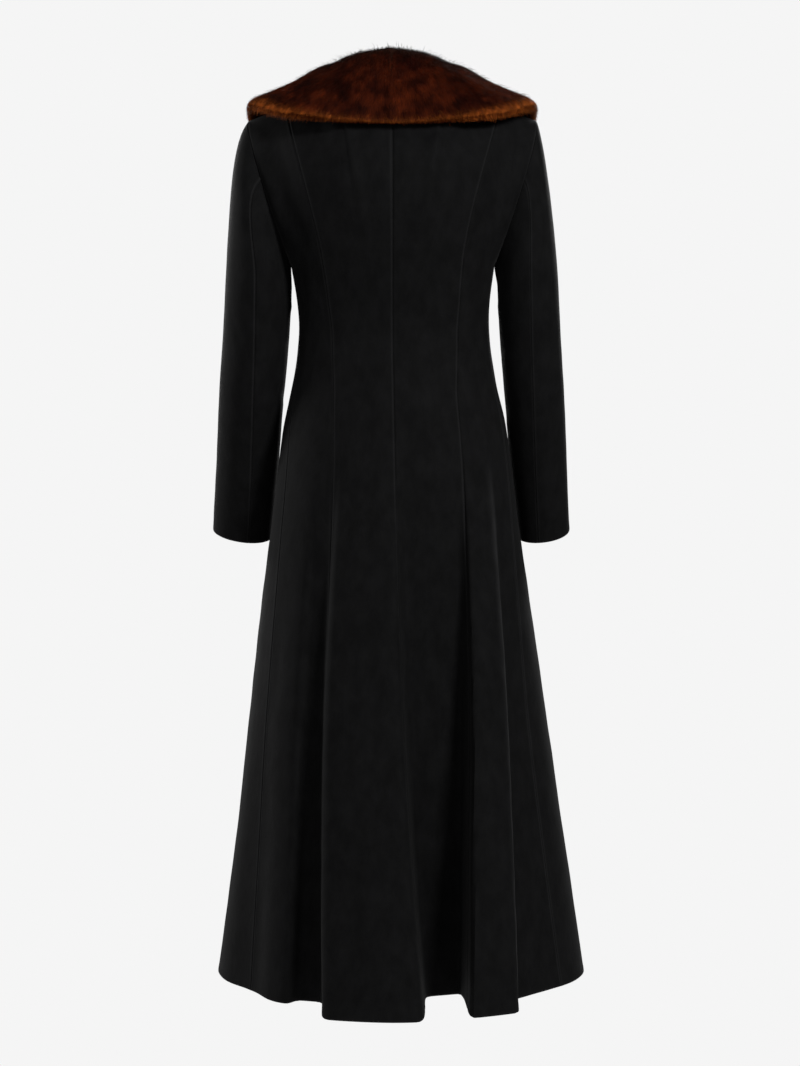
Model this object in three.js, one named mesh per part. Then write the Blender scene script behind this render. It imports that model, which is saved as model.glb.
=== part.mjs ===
// A long, fitted wool coat with a flared skirt and a wide fur shawl collar, filled out as worn with nobody
// in it. Millimetres, +Z up, the back faces +Y and the wearer's left is +X. The origin lies midway between
// the neck ends of the two shoulder seams, where the wearer's shoulders carry the coat.
import * as THREE from "three";

// A table with named columns: one object for each row of values.
const rowsOf = (columns, rows) =>
  rows.map((row) => Object.fromEntries(columns.map((column, i) => [column, row[i]])));

const WALL = 2.5; // double-faced wool
const SEAM_GAP = 0.3; // between the cut edges of two panels
const OVERLAP_AIR = 0.9; // between the upper and the lower front where they cross

const UNDERARM = -262;
const PANEL_DROP = 200; // about the length of cloth from the shoulder seam to the underarm
const HEM = -1293;
const BREAK_POINT = -345; // where the collar ends and the fronts cross
const OVERLAP_FULL = -410; // the fronts overlap by their full width from here down
const FRONT_OVERLAP = 70;
const FRONT_CUT_BACK = 18; // each front edge stops short of the centre front under the collar
const NECK = { halfWidth: 74, back: 60, backDrop: 18, seamY: -4 };
const SHOULDER_TIP = { x: 209, y: -5, z: -50 };
const PRINCESS_AT_SHOULDER = 152; // how far out the princess seams meet the shoulder seam

// Half widths and depths of the body, measured from the centre axis; square is the section's exponent.
const SECTIONS = rowsOf(
  ["z", "left", "right", "back", "front", "square"],
  [
    [ -262,   147,   147, 104, 122,  2.4],
    [ -315, 138.5, 140.5,  92, 108,  2.4],
    [ -360, 136.5,   140,  86,  99, 2.35],
    [ -420, 143.5,   148,  97, 105,  2.3],
    [ -500,   160, 165.5, 115, 122,  2.3],
    [ -665,   181, 187.5, 141, 150,  2.3],
    [ -898, 208.5,   222, 174, 186, 2.15],
    [-1117, 232.5,   254, 202, 215, 1.95],
    [-1293,   257,   281, 226, 238, 1.75],
  ],
);

// Where each seam runs round the body, in degrees from the centre back towards the wearer's left.
const SEAMS = rowsOf(
  [
    "z", "centreBack", "backLeft", "backRight", "sideLeft", "sideRight", "frontLeft", "frontRight",
  ],
  [
    [ -262,    0, 49.8, -49.8,   86, -86, 132, -132],
    [ -360,    0, 50.5, -52.9,   80, -81, 128, -128],
    [ -460, -0.9,   42, -45.2,   73, -76, 134, -134],
    [ -560, -1.6, 36.7, -42.4,   67, -73, 139, -139],
    [ -700, -2.4, 32.9, -38.7,   64, -68, 144, -143],
    [ -898,   -4,   29, -34.5, 62.5, -64, 148, -147],
    [-1117,   -7,   25,   -30, 61.5, -66, 151, -150],
    [-1293,  -10,   23,   -27, 60.7, -69, 153, -152],
  ],
);

// Each fold of the skirt: its two edges in degrees from a seam, where it starts and at the hem, how far it
// stands out at the hem, how far its crest spreads, which way it faces and how crisp its edges are.
const FOLDS = rowsOf(
  [
    "name", "seam", "nearStart", "nearHem", "farStart", "farHem", "start", "rise", "spread", "faces",
    "crisp", "growth",
  ],
  [
    ["main flute, centre back left" , "centreBack",   0,     0, 35.3, 33.5, -530,  56, 11,    3, 10, 1.05],
    ["hollow, centre back right"    , "backRight" ,   2,     1,   38,   17, -560, -73,  0,    0, 12,  1.0],
    ["second flute, side back right", "backRight" , -15, -13.5,    0,    0, -520,  60,  9,  -20, 10,  1.1],
    ["hollow beside the main flute" , "backLeft"  ,   0,   1.5,   11,   13, -560, -28,  0,    3,  6,  1.0],
    ["swell beside the main flute"  , "backLeft"  ,   4,     5,   26,   30, -600,  13,  0,   38,  3,  1.0],
    ["hollow at the left side seam" , "sideLeft"  ,  -9,    -9,   11,   11, -640,  -9,  0,   62,  3,  1.1],
    ["hollow at the right side seam", "sideRight" ,  -6,    -2,   16,   20, -640,  -8,  0,  -60,  3,  1.1],
    ["flute, left side front"       , "sideLeft"  ,  46,    51,   68,   73, -600,  42,  4,  128,  5,  1.1],
    ["flute, left front"            , "frontLeft" ,  -6,   -18,    9,    2, -560,  46,  5,  150,  5,  1.1],
    ["flute, right side front"      , "sideRight" , -68,   -71,  -46,  -48, -600,  44,  4, -130,  5,  1.1],
    ["flute, right front"           , "frontRight",  -8,    -2,    7,   19, -580,  40,  5, -148,  5,  1.1],
  ],
);

// The panels of one side from the centre back to the front edge, with their end seams and columns.
const PANELS = [
  { name: "back_centre", from: "centreBack", to: "back", columns: 12 },
  { name: "back_side", from: "back", to: "side", columns: 11 },
  { name: "front_side", from: "side", to: "front", columns: 10 },
  { name: "front_centre", from: "front", to: "edge", columns: 9 },
];
const NECK_SHARE = 0.45; // share of the centre back panel's top edge that is neckline

// How the cloth leaves the shoulder seam, from the centre back (0) over the shoulder tip (2) to the front
// edge (4).
const BACK_START = rowsOf(
  ["s", "x", "y", "z"],
  [
    [    0,  0, 180, -200],
    [0.225,  4, 265, -165],
    [ 0.45,  4, 430, -130],
    [  0.7,  0, 384, -120],
    [    1,  2, 335, -105],
    [    2, 18, 175,  -50],
  ],
);
const FRONT_START = rowsOf(
  ["s", "x", "y", "z"],
  [
    [2, 18, -175,  -50],
    [3,  2, -260, -105],
    [4,  0, -160, -130],
  ],
);
const ARMHOLE_END = { x: -60, y: 190, z: -150 }; // how the armhole edges run into the underarm point

const BODY_ROWS = {
  upper: 10,
  lower: [-289, -315, -345, -385, -440, -520, -610, -720, -840, -970, -1090, -1200, HEM],
};

// The sleeve from the underarm to the cuff: centre line, half width, half depth, and how far each ring leans.
const SLEEVE = rowsOf(
  ["z", "x", "y", "across", "deep", "forward", "slant", "backSeam", "frontSeam"],
  [
    [-292, 195.5,  -2,   48,   62,  0, 0,  90, 234],
    [-370,   200,  -8,   48,   56,  5, 2,  93, 236],
    [-460,   208, -22, 47.5,   52, 10, 4,  98, 239],
    [-560, 216.5, -53, 45.5,   48, 14, 6, 102, 242],
    [-652,   225, -80, 43.5, 44.5, 16, 8, 106, 244],
  ],
);
const RIGHT_SLEEVE = { narrower: 4, outward: 1 }; // the right sleeve hangs a little slimmer
const CAP_START = rowsOf(
  ["turn", "x", "y", "z", "pull"],
  [
    [  0, 60,   0, -90, 200],
    [ 90, 62,  34, -78, 130],
    [180,  2,   0, -22,  26],
    [270, 62, -30, -78, 130],
    [360, 60,   0, -90, 200],
  ],
);
const CAP_UNEVEN = 0.4; // the left sleeve head stands out more than the right one
const CAP_ROWS = 5;
const SLEEVE_ROWS = [-330, -385, -450, -515, -585, -652];
const SLEEVE_COLUMNS = { upper: 12, under: 8 };
const SLEEVE_RADIUS = 45; // for turning the seam's gap into an angle

// Sections of the collar from the centre back round the neck to the break point. Each runs from the neck
// seam over the roll line to the outer edge; pile is how far the fur reaches off the backing.
const COLLAR = rowsOf(
  [
    "at", "rollX", "rollY", "rollZ", "fallX", "fallY", "fallZ", "edgeX", "edgeY", "edgeZ", "pile",
  ],
  [
    [   0,  0,     72,   31,   0,  101,  -22,   0,   99,  -70, 16],
    [0.15, 47,     60,   25,  62,   92,  -22,  74,  100,  -68, 16],
    [0.26, 76,     32,   15, 112,   56,  -14, 150,   80,  -60, 16],
    [0.36, 87,     -4,   16, 143,    2,  -11, 211,    2,  -36, 15],
    [0.48, 82,    -50,  -28, 136,  -58,  -42, 201,  -56,  -76, 15],
    [0.64, 62,   -103, -106, 110, -104, -120, 166,  -84, -144, 14],
    [0.78, 41,   -127, -187,  76, -127, -199, 114, -110, -217, 13],
    [ 0.9, 23,   -130, -255,  43, -129, -264,  64, -120, -277, 11],
    [   1, 12, -116.5, -319,  20, -116, -325,  28, -113, -332,  8],
  ],
);
const COLLAR_SHOULDER = 0.36; // where the collar passes the shoulder seam's neck end
const COLLAR_END = -318;
const COLLAR_TO_UNDERARM = 0.8; // share of the front edge that the collar runs down to the underarm's height
const COLLAR_GAP = 0.9;
const COLLAR_SET_BACK = 0.2; // from the neckline's edge onto the back
const COLLAR_SHIFT = 2; // the collar lies a little towards the wearer's left
const COLLAR_CENTRE_GAP = 0.0015; // as a share of the collar's length, between its two halves
const COLLAR_ROWS = { neck: 8, front: 12 };
const COLLAR_COLUMNS = 9;

const rad = THREE.MathUtils.degToRad;
const lerp = THREE.MathUtils.lerp;
const clamp = THREE.MathUtils.clamp;
const smoothstep = THREE.MathUtils.smoothstep;

// The value of one column of a table at a place between its rows, on a smooth curve through them.
function track(table, column, key, place) {
  const rising = table[table.length - 1][key] > table[0][key];
  const last = table.length - 2;
  let i = table.findIndex((row) => (rising ? row[key] > place : row[key] < place)) - 1;
  i = i < 0 ? (place === table[0][key] ? 0 : last) : Math.min(i, last);
  if (rising ? place < table[0][key] : place > table[0][key]) i = 0;
  const [p, q] = [table[i], table[i + 1]];
  const span = q[key] - p[key];
  const slope = (a, b) => (b[column] - a[column]) / (b[key] - a[key]);
  const here = i > 0 ? slope(table[i - 1], q) : slope(p, q);
  const next = i < last ? slope(p, table[i + 2]) : slope(p, q);
  const t = (place - p[key]) / span;
  return hermite(p[column], here * span, q[column], next * span, t);
}

function hermite(start, startPull, end, endPull, t) {
  const a = 2 * t ** 3 - 3 * t ** 2 + 1;
  const b = t ** 3 - 2 * t ** 2 + t;
  return a * start + b * startPull + (1 - a) * end + (t ** 3 - t ** 2) * endPull;
}

function hermitePoint(start, startPull, end, endPull, t) {
  const along = (axis) => hermite(start[axis], startPull[axis], end[axis], endPull[axis], t);
  return new THREE.Vector3(along("x"), along("y"), along("z"));
}

const seamAngle = (seam, z) => track(SEAMS, seam, "z", z);

// The outside of the body below the underarm, at a height and an angle from the centre back.
function bodyPoint(z, degrees) {
  const turn = rad(degrees);
  const across = track(SECTIONS, Math.sin(turn) >= 0 ? "left" : "right", "z", z);
  const deep = track(SECTIONS, Math.cos(turn) >= 0 ? "back" : "front", "z", z);
  const square = track(SECTIONS, "square", "z", z);
  const sum = Math.abs(Math.sin(turn) / across) ** square + Math.abs(Math.cos(turn) / deep) ** square;
  const radius = sum ** (-1 / square);
  const point = new THREE.Vector3(radius * Math.sin(turn), radius * Math.cos(turn), z);
  for (const fold of FOLDS) {
    if (z >= fold.start) continue;
    const down = (fold.start - z) / (fold.start - HEM);
    const near = seamAngle(fold.seam, z) + lerp(fold.nearStart, fold.nearHem, down);
    const far = seamAngle(fold.seam, z) + lerp(fold.farStart, fold.farHem, down);
    const middle = (near + far) / 2;
    const off = ((degrees - middle + 540) % 360) - 180;
    const q = off / ((far - near) / 2);
    const size = down ** fold.growth / (1 + Math.abs(q) ** fold.crisp);
    const out = fold.rise * size;
    const sideways = fold.spread * size * clamp(q, -1.2, 1.2);
    const face = rad(fold.faces);
    point.x += out * Math.sin(face) + sideways * Math.cos(face);
    point.y += out * Math.cos(face) - sideways * Math.sin(face);
  }
  return point;
}

// How far a front reaches past the centre front (positive) or stops short of it (negative).
function frontReach(z) {
  if (z > BREAK_POINT) return -FRONT_CUT_BACK * smoothstep(z, BREAK_POINT, UNDERARM + 30);
  return (FRONT_OVERLAP / 2) * smoothstep(-z, -BREAK_POINT, -OVERLAP_FULL);
}

// The angle of a seam or front edge of one side (1 left, -1 right) at a height.
function boundary(side, name, z) {
  if (name === "centreBack") return seamAngle("centreBack", z);
  if (name === "edge") {
    const deep = track(SECTIONS, "front", "z", z);
    return side * (180 + THREE.MathUtils.radToDeg(Math.atan2(frontReach(z), deep)));
  }
  return seamAngle(name + (side > 0 ? "Left" : "Right"), z);
}

// Angles that part the stretch between two seams into equal lengths of cloth, kept for each height.
const CLOTH_STEPS = 160;
const spacing = new Map();
function clothAngle(side, panel, share, z) {
  const key = `${side} ${panel} ${z}`;
  if (!spacing.has(key)) {
    const from = boundary(side, PANELS[panel].from, z);
    const to = boundary(side, PANELS[panel].to, z);
    const fine = CLOTH_STEPS;
    const lengths = [0];
    for (let i = 1; i <= fine; i++) {
      const a = bodyPoint(z, lerp(from, to, (i - 1) / fine));
      const b = bodyPoint(z, lerp(from, to, i / fine));
      lengths.push(lengths[i - 1] + a.distanceTo(b));
    }
    spacing.set(key, { from, to, fine, lengths });
  }
  const { from, to, fine, lengths } = spacing.get(key);
  const wanted = share * lengths[fine];
  let i = lengths.findIndex((length) => length > wanted);
  if (i < 0) i = fine;
  if (i === 0) i = 1;
  const within = (wanted - lengths[i - 1]) / (lengths[i] - lengths[i - 1]);
  return lerp(from, to, (i - 1 + within) / fine);
}

const panelOf = (s) => Math.min(3, Math.floor(s));

function lowerPoint(side, s, z) {
  return bodyPoint(z, clothAngle(side, panelOf(s), s - panelOf(s), z));
}

// The top edge: the back neckline, then the shoulder seam out to its tip, and back along it to the neck.
function topPoint(side, s) {
  const alongShoulder = (x) => {
    const share = (x - NECK.halfWidth) / (SHOULDER_TIP.x - NECK.halfWidth);
    return new THREE.Vector3(side * x, lerp(NECK.seamY, SHOULDER_TIP.y, share), SHOULDER_TIP.z * share);
  };
  if (s <= NECK_SHARE) {
    const turn = (s / NECK_SHARE) * (Math.PI / 2);
    const y = NECK.seamY + (NECK.back - NECK.seamY) * Math.cos(turn);
    return new THREE.Vector3(side * NECK.halfWidth * Math.sin(turn), y, -NECK.backDrop * Math.cos(turn));
  }
  if (s <= 1) {
    return alongShoulder(lerp(NECK.halfWidth, PRINCESS_AT_SHOULDER, (s - NECK_SHARE) / (1 - NECK_SHARE)));
  }
  if (s <= 2) return alongShoulder(lerp(PRINCESS_AT_SHOULDER, SHOULDER_TIP.x, s - 1));
  if (s <= 3) return alongShoulder(lerp(SHOULDER_TIP.x, PRINCESS_AT_SHOULDER, s - 2));
  return alongShoulder(lerp(PRINCESS_AT_SHOULDER, NECK.halfWidth, s - 3));
}

// The outside of the body above the underarm: each column curves from the shoulder seam down to the
// underarm. front tells which half s = 2 belongs to.
function upperPoint(side, s, t, front) {
  const top = topPoint(side, s);
  const low = lowerPoint(side, s, UNDERARM);
  const table = front ? FRONT_START : BACK_START;
  const pull = (axis) => track(table, axis, "s", s);
  const startPull = new THREE.Vector3(side * pull("x"), pull("y"), pull("z"));
  const drop = top.z - UNDERARM;
  const step = 4;
  const endPull = lowerPoint(side, s, UNDERARM - step).sub(low).multiplyScalar(drop / step);
  const nearArm = smoothstep(1 - Math.abs(s - 2), 0.25, 1);
  const inward = front ? 1 : -1;
  const armPull = new THREE.Vector3(side * ARMHOLE_END.x, inward * ARMHOLE_END.y, ARMHOLE_END.z);
  endPull.lerp(armPull, nearArm);
  return hermitePoint(top, startPull, low, endPull, t);
}

// A point of the coat's outside and its outward normal. v runs from the shoulder (0) to the underarm (1)
// and, as a height, from there down. The small steps are what each slope is measured over.
const STEP = { columns: 0.004, rows: 0.01, height: 1, degrees: 0.5, sleeveRows: 0.02, collar: 0.01 };

function coatPoint(side, s, v, front) {
  return v > UNDERARM ? upperPoint(side, s, v, front) : lowerPoint(side, s, v);
}

function coatNormal(side, s, v, front) {
  const ds = STEP.columns;
  const low = front ? 2 : 0;
  const s0 = Math.max(low, s - ds);
  const s1 = Math.min(front ? 4 : 2, s + ds);
  const lower = v <= UNDERARM;
  const before = !front && s < ds ? upperPoint(-side, ds - s, Math.min(v, 1), false) : null;
  const around = lower
    ? lowerAround(side, s, v)
    : upperPoint(side, s1, v, front).sub(before ?? upperPoint(side, s0, v, front));
  const dv = lower ? STEP.height : STEP.rows;
  const v0 = lower ? Math.min(UNDERARM, v + dv) : Math.max(0, v - dv);
  const v1 = lower ? Math.max(HEM, v - dv) : Math.min(1, v + dv);
  const down = coatPoint(side, s, v1, front).sub(coatPoint(side, s, v0, front));
  return around.cross(down).normalize().multiplyScalar(side);
}

// The direction round the body at a seam or inside a panel, taken across the seam so that both agree.
function lowerAround(side, s, z) {
  const degrees = clothAngle(side, panelOf(s), s - panelOf(s), z);
  const step = STEP.degrees * side;
  return bodyPoint(z, degrees + step).sub(bodyPoint(z, degrees - step));
}

// A closed wall from a grid of outside points and a grid of inside points.
function wall(name, outside, inside, material) {
  const rows = outside.length;
  const columns = outside[0].length;
  const positions = [];
  for (const grid of [outside, inside]) {
    for (const row of grid) for (const point of row) positions.push(point.x, point.y, point.z);
  }
  const id = (layer, row, column) => layer * rows * columns + row * columns + column;
  const faces = [];
  const quad = (a, b, c, d) => faces.push(a, b, c, a, c, d);
  for (let row = 0; row < rows - 1; row++) {
    for (let column = 0; column < columns - 1; column++) {
      const corner = (layer) => [
        id(layer, row, column),
        id(layer, row + 1, column),
        id(layer, row + 1, column + 1),
        id(layer, row, column + 1),
      ];
      quad(...corner(0));
      quad(...corner(1).reverse());
    }
    quad(id(0, row + 1, 0), id(0, row, 0), id(1, row, 0), id(1, row + 1, 0));
    const end = columns - 1;
    quad(id(0, row + 1, end), id(1, row + 1, end), id(1, row, end), id(0, row, end));
  }
  for (let column = 0; column < columns - 1; column++) {
    quad(id(0, 0, column), id(0, 0, column + 1), id(1, 0, column + 1), id(1, 0, column));
    const end = rows - 1;
    quad(id(0, end, column + 1), id(0, end, column), id(1, end, column), id(1, end, column + 1));
  }
  const geometry = new THREE.BufferGeometry();
  geometry.setAttribute("position", new THREE.Float32BufferAttribute(positions, 3));
  geometry.setIndex(faces);
  const mesh = new THREE.Mesh(geometry, material);
  mesh.name = name;
  return mesh;
}

const mirrorGrid = (grid) => grid.map((row) => [...row].reverse());

const PANEL_END = 0.9999; // the last place across a panel that still belongs to it

// The stations of a panel's columns, held back from the seams by half of the gap.
function stations(panel, columns, length) {
  const trim = SEAM_GAP / 2 / length;
  const list = [];
  for (let i = 0; i <= columns; i++) list.push(panel + lerp(trim, 1 - trim, i / columns));
  return list;
}

function widthAt(side, panel, v, front) {
  const fine = 12;
  const station = (i) => coatPoint(side, panel + Math.min(i / fine, PANEL_END), v, front);
  let length = 0;
  for (let i = 0; i < fine; i++) length += station(i).distanceTo(station(i + 1));
  return length;
}

// The right front lies over the left one from the break point down: it rises across the middle of its
// panel, and over the height between the underarm and just below the break point.
function frontLift(side, s, v) {
  if (side > 0 || s < 3 || v > UNDERARM) return 0;
  const overPanel = smoothstep(s - 3, 0.08, 0.42);
  const overHeight = smoothstep(-v, -UNDERARM, 20 - BREAK_POINT);
  return (WALL + OVERLAP_AIR) * overPanel * overHeight;
}

// Both panels that meet at the shoulder seam are cut square to it.
function shoulderNormal(side) {
  const run = SHOULDER_TIP.x - NECK.halfWidth;
  return new THREE.Vector3(-side * SHOULDER_TIP.z, 0, run).normalize();
}

function bodyPanel(side, panel, material) {
  const { name, columns } = PANELS[panel];
  const front = panel > 1;
  const heights = [];
  for (let i = 0; i < BODY_ROWS.upper; i++) heights.push(i / BODY_ROWS.upper);
  heights.push(UNDERARM, ...BODY_ROWS.lower);
  const outside = [];
  const inside = [];
  for (const v of heights) {
    const outRow = [];
    const inRow = [];
    const length = widthAt(side, panel, v, front);
    for (const s of stations(panel, columns, length)) {
      const shoulderTrim = v === 0 ? SEAM_GAP / 2 / PANEL_DROP : v;
      const point = coatPoint(side, s, shoulderTrim, front);
      const nearSeam = Math.abs(s - Math.round(s)) < 0.02 ? Math.round(s) : s;
      const onShoulder = v === 0 && s >= NECK_SHARE;
      const normal = onShoulder ? shoulderNormal(side) : coatNormal(side, nearSeam, shoulderTrim, front);
      const lift = frontLift(side, s, v);
      outRow.push(point.clone().addScaledVector(normal, lift));
      inRow.push(point.clone().addScaledVector(normal, lift - WALL));
    }
    outside.push(outRow);
    inside.push(inRow);
  }
  const label = `${name}_${side > 0 ? "left" : "right"}`;
  if (side < 0) return wall(label, outside, inside, material);
  return wall(label, mirrorGrid(outside), mirrorGrid(inside), material);
}

// The armhole edge of the body at a turn of the sleeve: 0 at the shoulder tip, 90 at the back, 180 at the
// underarm. It is taken between the body's own rows, so that both edges follow the same line.
function armholeCorner(side, step, front) {
  const t = clamp(step / BODY_ROWS.upper, SEAM_GAP / 2 / PANEL_DROP, 1);
  const point = upperPoint(side, 2, t, front);
  const normal = coatNormal(side, 2, t, front);
  const before = upperPoint(side, 2, Math.max(0, t - STEP.rows), front);
  const along = upperPoint(side, 2, Math.min(1, t + STEP.rows), front).sub(before);
  const away = along.cross(normal).normalize();
  const inward = upperPoint(side, front ? 2.05 : 1.95, t, front).sub(point);
  if (away.dot(inward) > 0) away.negate();
  return { point, normal, away };
}

function armholeEdge(side, turn) {
  const front = turn > 180;
  const steps = ((front ? 360 - turn : turn) / 180) * BODY_ROWS.upper;
  const low = Math.min(BODY_ROWS.upper - 1, Math.floor(steps));
  const a = armholeCorner(side, low, front);
  const b = armholeCorner(side, low + 1, front);
  const share = steps - low;
  return {
    point: a.point.lerp(b.point, share),
    normal: a.normal.lerp(b.normal, share),
    away: a.away.lerp(b.away, share).normalize(),
  };
}

// How much the sleeve bends away from the body at its seam (1) rather than over the shoulder's edge (0).
function valley(edge, startPull) {
  return smoothstep(edge.normal.dot(startPull) / startPull.length(), -0.1, 0.15);
}

// The sleeve below its cap.
function sleevePoint(side, turn, z) {
  const at = (column) => track(SLEEVE, column, "z", z);
  const angle = rad(turn);
  const slimmer = side < 0 ? RIGHT_SLEEVE.narrower : 0;
  const outward = (at("across") - slimmer) * Math.cos(angle);
  const back = at("deep") * Math.sin(angle);
  const lean = rad(at("forward"));
  const slant = Math.tan(rad(at("slant")));
  return new THREE.Vector3(
    side * (at("x") + outward + (side < 0 ? RIGHT_SLEEVE.outward : 0)),
    at("y") + back * Math.cos(lean),
    z - back * Math.sin(lean) + outward * slant,
  );
}

function capPull(side, turn) {
  const pull = (axis) => track(CAP_START, axis, "turn", turn);
  return new THREE.Vector3(side * pull("x") * (1 + CAP_UNEVEN * side), pull("y"), pull("z"));
}

function sleeveCap(side, turn, w) {
  const edge = armholeEdge(side, turn);
  const startPull = capPull(side, turn);
  const overSeam = 1.5 * valley(edge, startPull);
  const direction = edge.away.clone().addScaledVector(edge.normal, overSeam).normalize();
  const start = edge.point.clone().addScaledVector(direction, 1.5 * SEAM_GAP);
  const first = SLEEVE[0].z;
  const step = 4;
  const end = sleevePoint(side, turn, first);
  const endPull = sleevePoint(side, turn, first - step).sub(end);
  endPull.multiplyScalar(track(CAP_START, "pull", "turn", turn) / step);
  return hermitePoint(start, startPull, end, endPull, w);
}

function sleeveSurface(side, turn, v) {
  const whole = ((turn % 360) + 360) % 360;
  return v >= 0 ? sleeveCap(side, whole, v) : sleevePoint(side, whole, v);
}

function sleeveNormal(side, turn, v) {
  const around = sleeveSurface(side, turn + 1, v).sub(sleeveSurface(side, turn - 1, v));
  const cap = v >= 0;
  const v0 = cap ? Math.max(0, v - STEP.sleeveRows) : v + STEP.height;
  const v1 = cap ? Math.min(1, v + STEP.sleeveRows) : v - STEP.height;
  const down = sleeveSurface(side, turn, v1).sub(sleeveSurface(side, turn, v0));
  return around.cross(down).normalize().multiplyScalar(-side);
}

// One sleeve piece between its two seams. The first row shares the body's edge, so the walls don't cross.
function sleevePiece(side, part, material) {
  const columns = SLEEVE_COLUMNS[part];
  const heights = [];
  for (let i = 0; i < CAP_ROWS; i++) heights.push(i / CAP_ROWS);
  heights.push(1, ...SLEEVE_ROWS);
  const outside = [];
  const inside = [];
  for (const v of heights) {
    const z = v >= 0 ? SLEEVE[0].z : v;
    const backSeam = track(SLEEVE, "backSeam", "z", z);
    const frontSeam = track(SLEEVE, "frontSeam", "z", z);
    const [from, to] = part === "upper" ? [frontSeam - 360, backSeam] : [backSeam, frontSeam];
    const trim = THREE.MathUtils.radToDeg(SEAM_GAP / 2 / SLEEVE_RADIUS);
    const outRow = [];
    const inRow = [];
    for (let i = 0; i <= columns; i++) {
      const turn = lerp(from + trim, to - trim, i / columns);
      const seamTurn = lerp(from, to, i / columns);
      const point = sleeveSurface(side, turn, v);
      const normal = sleeveNormal(side, seamTurn, v);
      if (v === 0) {
        const whole = ((turn % 360) + 360) % 360;
        const edge = armholeEdge(side, whole);
        normal.lerp(edge.normal, 1 - valley(edge, capPull(side, whole)));
      }
      outRow.push(point);
      inRow.push(point.clone().addScaledVector(normal, -WALL));
    }
    outside.push(outRow);
    inside.push(inRow);
  }
  const label = `sleeve_${part}_${side > 0 ? "left" : "right"}`;
  if (side > 0) return wall(label, outside, inside, material);
  return wall(label, mirrorGrid(outside), mirrorGrid(inside), material);
}

// The neck seam of the collar: the back neckline, then the front edge down to the break point.
function neckSeam(side, at) {
  if (at <= COLLAR_SHOULDER) {
    const s = (at / COLLAR_SHOULDER) * NECK_SHARE;
    const inward = new THREE.Vector3(0, NECK.seamY, 0).sub(topPoint(side, s)).setZ(0).normalize();
    return topPoint(side, s).addScaledVector(inward, -COLLAR_SET_BACK).setZ(topPoint(side, s).z + COLLAR_GAP);
  }
  const down = (at - COLLAR_SHOULDER) / (1 - COLLAR_SHOULDER);
  const share = COLLAR_TO_UNDERARM;
  const s = 3 + PANEL_END;
  const v = down < share ? down / share : lerp(UNDERARM, COLLAR_END, (down - share) / (1 - share));
  const lift = COLLAR_GAP + frontLift(side, s, v);
  return coatPoint(side, s, v, true).addScaledVector(coatNormal(side, s, v, true), lift);
}

// The backing of the collar: across runs from the neck seam (0) over the roll line to the outer edge (1).
function collarBacking(side, at, across) {
  const column = (name) => track(COLLAR, name, "at", at);
  const shift = COLLAR_SHIFT * (1 - at);
  const knot = (name) =>
    new THREE.Vector3(side * column(`${name}X`) + shift, column(`${name}Y`), column(`${name}Z`));
  const knots = [neckSeam(side, at), knot("roll"), knot("fall"), knot("edge")];
  const curve = new THREE.CatmullRomCurve3(knots, false, "centripetal");
  return curve.getPoint(across);
}

function collarNormal(side, at, across) {
  const d = STEP.collar;
  const low = (value) => Math.max(0, value - d);
  const high = (value) => Math.min(1, value + d);
  const along = collarBacking(side, high(at), across).sub(collarBacking(side, low(at), across));
  const over = collarBacking(side, at, high(across)).sub(collarBacking(side, at, low(across)));
  return along.cross(over).normalize().multiplyScalar(side);
}

// The fur is full in the middle, thinner on the stand at the neck and rounded off over the outer edge.
function furDepth(at, across) {
  const rounded = Math.sqrt(1 - clamp((across - 0.86) / 0.14, 0, 1) ** 2 * 0.72);
  const stand = lerp(0.3, 1, smoothstep(across, 0, 0.34));
  return track(COLLAR, "pile", "at", at) * rounded * stand;
}

function collarHalf(side, material) {
  const outside = [];
  const inside = [];
  const { neck, front } = COLLAR_ROWS;
  const rows = [];
  for (let i = 0; i < neck; i++) rows.push(lerp(COLLAR_CENTRE_GAP, COLLAR_SHOULDER, i / neck));
  for (let i = 0; i <= front; i++) rows.push(lerp(COLLAR_SHOULDER, 1, i / front));
  for (const at of rows) {
    const outRow = [];
    const inRow = [];
    for (let j = 0; j <= COLLAR_COLUMNS; j++) {
      const across = j / COLLAR_COLUMNS;
      const base = collarBacking(side, at, across);
      const normal = collarNormal(side, at, across);
      if (at === COLLAR_CENTRE_GAP) normal.setX(0).normalize();
      outRow.push(base.clone().addScaledVector(normal, furDepth(at, across)));
      inRow.push(base);
    }
    outside.push(outRow);
    inside.push(inRow);
  }
  const label = `fur_collar_${side > 0 ? "left" : "right"}`;
  if (side > 0) return wall(label, outside, inside, material);
  return wall(label, mirrorGrid(outside), mirrorGrid(inside), material);
}

const cloth = (name, color, roughness) =>
  new THREE.MeshStandardMaterial({ name, color, roughness, metalness: 0 });
const wool = cloth("black wool", 0x16161a, 0.95);
const fur = cloth("brown fur", 0x4a2410, 0.8);

const coat = new THREE.Group();
coat.name = "long_wool_coat";
for (const side of [1, -1]) {
  for (let panel = 0; panel < PANELS.length; panel++) coat.add(bodyPanel(side, panel, wool));
  coat.add(sleevePiece(side, "upper", wool), sleevePiece(side, "under", wool));
  coat.add(collarHalf(side, fur));
}

export default coat;
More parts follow.
